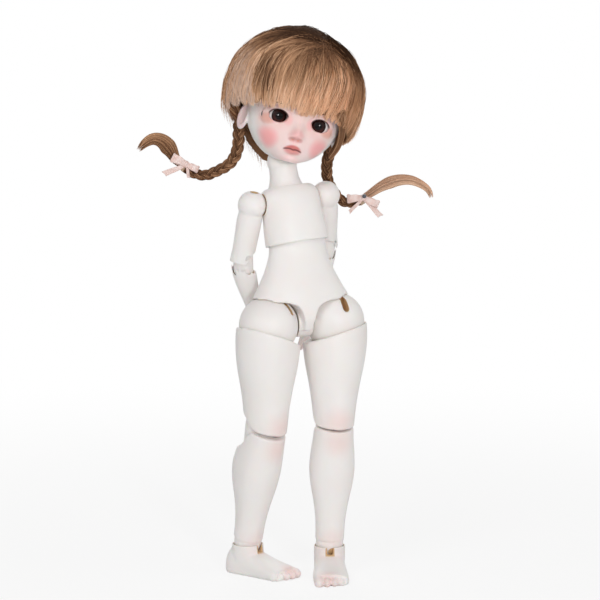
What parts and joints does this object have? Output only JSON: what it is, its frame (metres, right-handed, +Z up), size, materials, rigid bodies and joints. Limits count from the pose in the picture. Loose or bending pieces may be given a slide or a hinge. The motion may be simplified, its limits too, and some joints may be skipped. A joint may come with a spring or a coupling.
{
  "type": "ball jointed doll",
  "caption": "Standing ball jointed doll strung with elastic, with glass-like eyes and a wig of bangs and two braids tied with satin bows.",
  "frame": {"origin": "on the floor under the middle of the doll's box, between the feet", "axes": "+Z up, the pelvis faces -Y, the doll's left is +X"},
  "size_m": [0.1406, 0.0822, 0.2699],
  "materials": {
    "resin": "satin cast resin, white with a faint pink blush at the joints",
    "face_resin": "satin cast resin with painted lips, brows and pink cheeks",
    "eye_glass": "glossy dark brown iris on a white eyeball",
    "hair": "soft ash brown mohair",
    "wig_cap": "stretch knitted cap",
    "satin": "pale pink satin ribbon",
    "bead": "small polished bead",
    "hair_tie": "thin brown elastic band",
    "elastic": "braided elastic cord",
    "steel": "bent steel wire and plated magnets"
  },
  "bodies": {
    "lower_torso": {"lower_torso": "resin", "cord_torso": "elastic", "cord_hip_left": "elastic", "cord_hip_right": "elastic"},
    "chest": {"chest": "resin", "cord_chest": "elastic", "cord_arms": "elastic"},
    "neck": {"neck": "resin", "cord_neck": "elastic"},
    "head": {"head_shell": "face_resin", "head_cap": "face_resin", "eye_left": "eye_glass", "eye_right": "eye_glass", "head_magnet": "steel", "cap_magnet": "steel", "head_hook": "steel", "wig_cap": "wig_cap", "wig_hair": "hair", "braid_left": "hair", "braid_right": "hair", "hair_tail_left": "hair", "hair_tail_right": "hair", "hair_tie_left": "hair_tie", "hair_tie_right": "hair_tie", "bow_left": "satin", "bow_right": "satin", "bow_bead": "bead"},
    "shoulder_cord_left": {"cord_upper_arm_left": "elastic"},
    "upper_arm_left": {"upper_arm_left": "resin"},
    "elbow_joint_left": {"elbow_joint_left": "resin"},
    "forearm_left": {"forearm_left": "resin", "cord_forearm_left": "elastic"},
    "hand_left": {"hand_left": "resin", "wrist_hook_left": "steel"},
    "shoulder_cord_right": {"cord_upper_arm_right": "elastic"},
    "upper_arm_right": {"upper_arm_right": "resin"},
    "elbow_joint_right": {"elbow_joint_right": "resin"},
    "forearm_right": {"forearm_right": "resin", "cord_forearm_right": "elastic"},
    "hand_right": {"hand_right": "resin", "wrist_hook_right": "steel"},
    "hip_ball_left": {"hip_ball_left": "resin"},
    "thigh_left": {"thigh_left": "resin", "cord_thigh_left": "elastic"},
    "knee_joint_left": {"knee_joint_left": "resin"},
    "shin_left": {"shin_left": "resin", "cord_shin_left": "elastic"},
    "foot_left": {"foot_left": "resin", "ankle_hook_left": "steel"},
    "hip_ball_right": {"hip_ball_right": "resin"},
    "thigh_right": {"thigh_right": "resin", "cord_thigh_right": "elastic"},
    "knee_joint_right": {"knee_joint_right": "resin"},
    "shin_right": {"shin_right": "resin", "cord_shin_right": "elastic"},
    "foot_right": {"foot_right": "resin", "ankle_hook_right": "steel"}
  },
  "joints": [
    {"name": "waist_bend", "type": "hinge", "parent": "lower_torso", "child": "chest", "pos_m": [-0.00269, -0.00555, 0.16487], "axis": [0.9997, 0, 0.0233], "range_deg": [-4, 20]},
    {"name": "neck_nod", "type": "hinge", "parent": "chest", "child": "neck", "pos_m": [-0.00564, 0.00205, 0.18974], "axis": [0.9936, 0.0416, 0.1047], "range_deg": [-10, 12]},
    {"name": "head_turn", "type": "hinge", "parent": "neck", "child": "head", "pos_m": [-0.00732, 0.00334, 0.20439], "axis": [-0.1137, 0.0872, 0.9897], "range_deg": [-12, 60]},
    {"name": "arm_raise_left", "type": "hinge", "parent": "chest", "child": "shoulder_cord_left", "pos_m": [0.01458, 0.00011, 0.18778], "axis": [-0.2585, -0.8618, -0.4364], "range_deg": [0, 85]},
    {"name": "arm_turn_left", "type": "hinge", "parent": "shoulder_cord_left", "child": "upper_arm_left", "pos_m": [0.01458, 0.00011, 0.18778], "axis": [-0.165, -0.4057, 0.899], "range_deg": [-10, 90]},
    {"name": "elbow_bend_left", "type": "hinge", "parent": "upper_arm_left", "child": "elbow_joint_left", "pos_m": [0.01887, 0.01065, 0.1644], "axis": [-0.6076, 0.7598, 0.2313], "range_deg": [-11.6, 22]},
    {"name": "forearm_bend_left", "type": "hinge", "parent": "elbow_joint_left", "child": "forearm_left", "pos_m": [0.01891, 0.01272, 0.15772], "axis": [-0.6076, 0.7598, 0.2313], "range_deg": [-11.6, 22]},
    {"name": "wrist_bend_left", "type": "hinge", "parent": "forearm_left", "child": "hand_left", "pos_m": [0.01466, 0.01747, 0.13096], "axis": [0.7791, 0.6268, -0.0124], "range_deg": [-20, 30]},
    {"name": "arm_raise_right", "type": "hinge", "parent": "chest", "child": "shoulder_cord_right", "pos_m": [-0.02477, -0.00154, 0.18363], "axis": [-0.2783, 0.9277, 0.2488], "range_deg": [0, 85]},
    {"name": "arm_turn_right", "type": "hinge", "parent": "shoulder_cord_right", "child": "upper_arm_right", "pos_m": [-0.02477, -0.00154, 0.18363], "axis": [-0.1037, 0.2285, -0.968], "range_deg": [-10, 22]},
    {"name": "elbow_bend_right", "type": "hinge", "parent": "upper_arm_right", "child": "elbow_joint_right", "pos_m": [-0.02746, 0.0044, 0.15846], "axis": [0.2161, -0.9448, -0.2462], "range_deg": [-13.6, 22]},
    {"name": "forearm_bend_right", "type": "hinge", "parent": "elbow_joint_right", "child": "forearm_right", "pos_m": [-0.02657, 0.00634, 0.1518], "axis": [0.2161, -0.9448, -0.2462], "range_deg": [-13.6, 22]},
    {"name": "wrist_bend_right", "type": "hinge", "parent": "forearm_right", "child": "hand_right", "pos_m": [-0.0169, 0.01488, 0.12751], "axis": [0.9109, 0.1043, 0.3993], "range_deg": [-20, 30]},
    {"name": "hip_swing_left", "type": "hinge", "parent": "lower_torso", "child": "hip_ball_left", "pos_m": [0.01572, -0.00962, 0.1259], "axis": [-0.9997, 0, -0.0233], "range_deg": [-6, 52]},
    {"name": "thigh_turn_left", "type": "hinge", "parent": "hip_ball_left", "child": "thigh_left", "pos_m": [0.01572, -0.00962, 0.1259], "axis": [-0.05, -0.0976, -0.994], "range_deg": [-20, 5]},
    {"name": "knee_bend_left", "type": "hinge", "parent": "thigh_left", "child": "knee_joint_left", "pos_m": [0.01356, -0.01193, 0.07694], "axis": [0.9919, -0.1215, -0.038], "range_deg": [-3.1, 50]},
    {"name": "shin_bend_left", "type": "hinge", "parent": "knee_joint_left", "child": "shin_left", "pos_m": [0.01312, -0.01237, 0.06695], "axis": [0.9919, -0.1215, -0.038], "range_deg": [-2.6, 30]},
    {"name": "ankle_tilt_left", "type": "hinge", "parent": "shin_left", "child": "foot_left", "pos_m": [0.01088, -0.0148, 0.016], "axis": [0.9409, -0.3387, 0], "range_deg": [-11, 18]},
    {"name": "hip_swing_right", "type": "hinge", "parent": "lower_torso", "child": "hip_ball_right", "pos_m": [-0.01927, -0.00962, 0.12508], "axis": [-0.9997, 0, -0.0233], "range_deg": [-6, 52]},
    {"name": "thigh_turn_right", "type": "hinge", "parent": "hip_ball_right", "child": "thigh_right", "pos_m": [-0.01927, -0.00962, 0.12508], "axis": [0.0212, -0.0222, 0.9995], "range_deg": [-20, 5]},
    {"name": "knee_bend_right", "type": "hinge", "parent": "thigh_right", "child": "knee_joint_right", "pos_m": [-0.02126, -0.00622, 0.07618], "axis": [0.9237, 0.383, -0.011], "range_deg": [-5, 50]},
    {"name": "shin_bend_right", "type": "hinge", "parent": "knee_joint_right", "child": "shin_right", "pos_m": [-0.02193, -0.00491, 0.06628], "axis": [0.9237, 0.383, -0.011], "range_deg": [-4.4, 30]},
    {"name": "ankle_tilt_right", "type": "hinge", "parent": "shin_right", "child": "foot_right", "pos_m": [-0.02585, 0.0031, 0.01601], "axis": [0.8368, 0.5476, 0], "range_deg": [-11, 18]}
  ]
}
